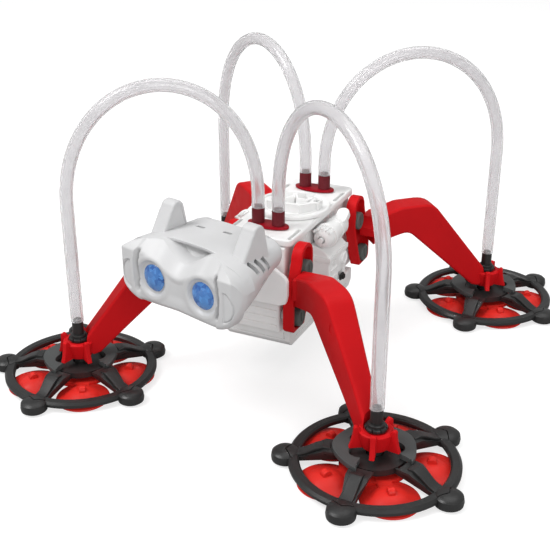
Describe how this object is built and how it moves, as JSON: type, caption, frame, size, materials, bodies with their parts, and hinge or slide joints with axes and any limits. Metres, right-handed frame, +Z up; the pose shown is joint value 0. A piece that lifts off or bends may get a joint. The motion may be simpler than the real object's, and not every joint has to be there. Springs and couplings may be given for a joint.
{
  "type": "walking robot kit",
  "caption": "Legged walking robot kit with a swinging head, crank-driven legs, suction-cup feet and looping clear air tubes from body to feet.",
  "frame": {"origin": "on the floor under the middle of the footprint", "axes": "+Z up, the robot faces -Y, its own left side is +X"},
  "size_m": [0.2232, 0.2382, 0.1348],
  "materials": {
    "white_plastic": "satin moulded",
    "pale_plastic": "satin moulded",
    "red_plastic": "glossy moulded",
    "dark_red_plastic": "glossy moulded",
    "black_plastic": "satin moulded",
    "grey_plastic": "satin moulded",
    "cup_rubber": "smooth soft moulded",
    "clear_tube": "clear flexible",
    "blue_lens": "clear faceted",
    "brass": "machined",
    "steel": "plated"
  },
  "bodies": {
    "body": {"housing": "white_plastic", "top_cover": "white_plastic", "turret": "white_plastic", "battery_case": "white_plastic", "air_port_front": "dark_red_plastic", "air_port_rear": "dark_red_plastic", "pump_box_left": "white_plastic", "pump_box_right": "white_plastic", "pump_cylinder_left": "white_plastic", "pump_cylinder_right": "white_plastic", "motor": "steel", "neck": "white_plastic", "tube_front_left": "clear_tube", "tube_rear_right": "clear_tube", "tube_rear_left": "clear_tube", "tube_front_right": "clear_tube"},
    "head": {"head_shell": "pale_plastic", "head_face": "pale_plastic", "ear_left": "pale_plastic", "ear_right": "pale_plastic", "lens_left": "blue_lens", "lens_right": "blue_lens"},
    "crank_front_upper": {"crankshaft_front_upper": "pale_plastic", "pin_front_left_upper": "grey_plastic", "pin_front_right_upper": "grey_plastic"},
    "crank_front_lower": {"crankshaft_front_lower": "pale_plastic", "pin_front_left_lower": "grey_plastic", "pin_front_right_lower": "grey_plastic"},
    "crank_rear_upper": {"crankshaft_rear_upper": "pale_plastic", "pin_rear_left_upper": "grey_plastic", "pin_rear_right_upper": "grey_plastic"},
    "crank_rear_lower": {"crankshaft_rear_lower": "pale_plastic", "pin_rear_left_lower": "grey_plastic", "pin_rear_right_lower": "grey_plastic"},
    "idler_front": {"idler_front": "brass"},
    "idler_rear": {"idler_rear": "brass"},
    "motor_shaft": {"motor_shaft": "brass"},
    "piston_left": {"pump_piston_left": "grey_plastic"},
    "piston_right": {"pump_piston_right": "grey_plastic"},
    "switch": {"power_switch": "black_plastic"},
    "leg_front_left": {"leg_front_left": "red_plastic"},
    "foot_front_left": {"foot_frame_front_left": "black_plastic", "foot_plate_front_left": "grey_plastic", "suction_cups_front_left": "cup_rubber", "nozzle_front_left": "black_plastic"},
    "leg_rear_right": {"leg_rear_right": "red_plastic"},
    "foot_rear_right": {"foot_frame_rear_right": "black_plastic", "foot_plate_rear_right": "grey_plastic", "suction_cups_rear_right": "cup_rubber", "nozzle_rear_right": "black_plastic"},
    "leg_rear_left": {"leg_rear_left": "red_plastic"},
    "foot_rear_left": {"foot_frame_rear_left": "black_plastic", "foot_plate_rear_left": "grey_plastic", "suction_cups_rear_left": "cup_rubber", "nozzle_rear_left": "black_plastic"},
    "leg_front_right": {"leg_front_right": "red_plastic"},
    "foot_front_right": {"foot_frame_front_right": "black_plastic", "foot_plate_front_right": "grey_plastic", "suction_cups_front_right": "cup_rubber", "nozzle_front_right": "black_plastic"}
  },
  "joints": [
    {"name": "walk_drive", "type": "hinge", "parent": "body", "child": "crank_front_upper", "pos_m": [0, -0.02195, 0.0541], "axis": [1, 0, 0], "continuous": true, "deforming": ["tube_front_left", "tube_rear_right", "tube_rear_left", "tube_front_right"]},
    {"name": "crank_front_lower_turn", "type": "hinge", "parent": "body", "child": "crank_front_lower", "pos_m": [0, -0.02965, 0.0347], "axis": [1, 0, 0], "continuous": true},
    {"name": "crank_rear_upper_turn", "type": "hinge", "parent": "body", "child": "crank_rear_upper", "pos_m": [0, 0.02865, 0.0541], "axis": [1, 0, 0], "continuous": true},
    {"name": "crank_rear_lower_turn", "type": "hinge", "parent": "body", "child": "crank_rear_lower", "pos_m": [0, 0.03635, 0.0347], "axis": [1, 0, 0], "continuous": true},
    {"name": "idler_front_turn", "type": "hinge", "parent": "body", "child": "idler_front", "pos_m": [0, -0.02257, 0.04312], "axis": [1, 0, 0], "continuous": true},
    {"name": "idler_rear_turn", "type": "hinge", "parent": "body", "child": "idler_rear", "pos_m": [0, 0.02927, 0.04312], "axis": [1, 0, 0], "continuous": true},
    {"name": "motor_turn", "type": "hinge", "parent": "body", "child": "motor_shaft", "pos_m": [-0.004, 0.00335, 0.0448], "axis": [0, 1, 0], "continuous": true},
    {"name": "leg_front_left_level", "type": "hinge", "parent": "crank_front_upper", "child": "leg_front_left", "pos_m": [0.01885, -0.02745, 0.0541], "axis": [1, 0, 0], "continuous": true},
    {"name": "foot_front_left_swivel", "type": "hinge", "parent": "leg_front_left", "child": "foot_front_left", "pos_m": [0.0728, -0.07835, 0.013], "axis": [0, 0, 1], "range_deg": [-36, 36]},
    {"name": "leg_rear_right_level", "type": "hinge", "parent": "crank_rear_upper", "child": "leg_rear_right", "pos_m": [-0.01885, 0.02315, 0.0541], "axis": [1, 0, 0], "continuous": true},
    {"name": "foot_rear_right_swivel", "type": "hinge", "parent": "leg_rear_right", "child": "foot_rear_right", "pos_m": [-0.0728, 0.07405, 0.013], "axis": [0, 0, 1], "range_deg": [-36, 36]},
    {"name": "leg_rear_left_level", "type": "hinge", "parent": "crank_rear_upper", "child": "leg_rear_left", "pos_m": [0.01885, 0.03415, 0.0541], "axis": [1, 0, 0], "continuous": true},
    {"name": "foot_rear_left_swivel", "type": "hinge", "parent": "leg_rear_left", "child": "foot_rear_left", "pos_m": [0.0728, 0.08505, 0.013], "axis": [0, 0, 1], "range_deg": [-36, 36]},
    {"name": "leg_front_right_level", "type": "hinge", "parent": "crank_front_upper", "child": "leg_front_right", "pos_m": [-0.01885, -0.01645, 0.0541], "axis": [1, 0, 0], "continuous": true},
    {"name": "foot_front_right_swivel", "type": "hinge", "parent": "leg_front_right", "child": "foot_front_right", "pos_m": [-0.0728, -0.06735, 0.013], "axis": [0, 0, 1], "range_deg": [-36, 36]},
    {"name": "head_swing", "type": "hinge", "parent": "body", "child": "head", "pos_m": [0, -0.03665, 0.063], "axis": [0, 0, 1], "range_deg": [-7.8, 32.2]},
    {"name": "piston_left_stroke", "type": "slide", "parent": "body", "child": "piston_left", "axis": [0, 1, 0], "range_m": [0, 0.011]},
    {"name": "piston_right_stroke", "type": "slide", "parent": "body", "child": "piston_right", "axis": [0, 1, 0], "range_m": [0, 0.011]},
    {"name": "switch_slide", "type": "slide", "parent": "body", "child": "switch", "axis": [0, 1, 0], "range_m": [0, 0.003]}
  ],
  "couplings": [
    {"joint": "crank_front_lower_turn", "follows": "walk_drive", "ratio": 1},
    {"joint": "crank_rear_upper_turn", "follows": "walk_drive", "ratio": 1},
    {"joint": "crank_rear_lower_turn", "follows": "walk_drive", "ratio": 1},
    {"joint": "idler_front_turn", "follows": "walk_drive", "ratio": -1.2},
    {"joint": "idler_rear_turn", "follows": "walk_drive", "ratio": -1.2},
    {"joint": "motor_turn", "follows": "walk_drive", "ratio": 12},
    {"joint": "leg_front_left_level", "follows": "walk_drive", "ratio": -1},
    {"joint": "leg_rear_right_level", "follows": "walk_drive", "ratio": -1},
    {"joint": "leg_rear_left_level", "follows": "walk_drive", "ratio": -1},
    {"joint": "leg_front_right_level", "follows": "walk_drive", "ratio": -1}
  ]
}
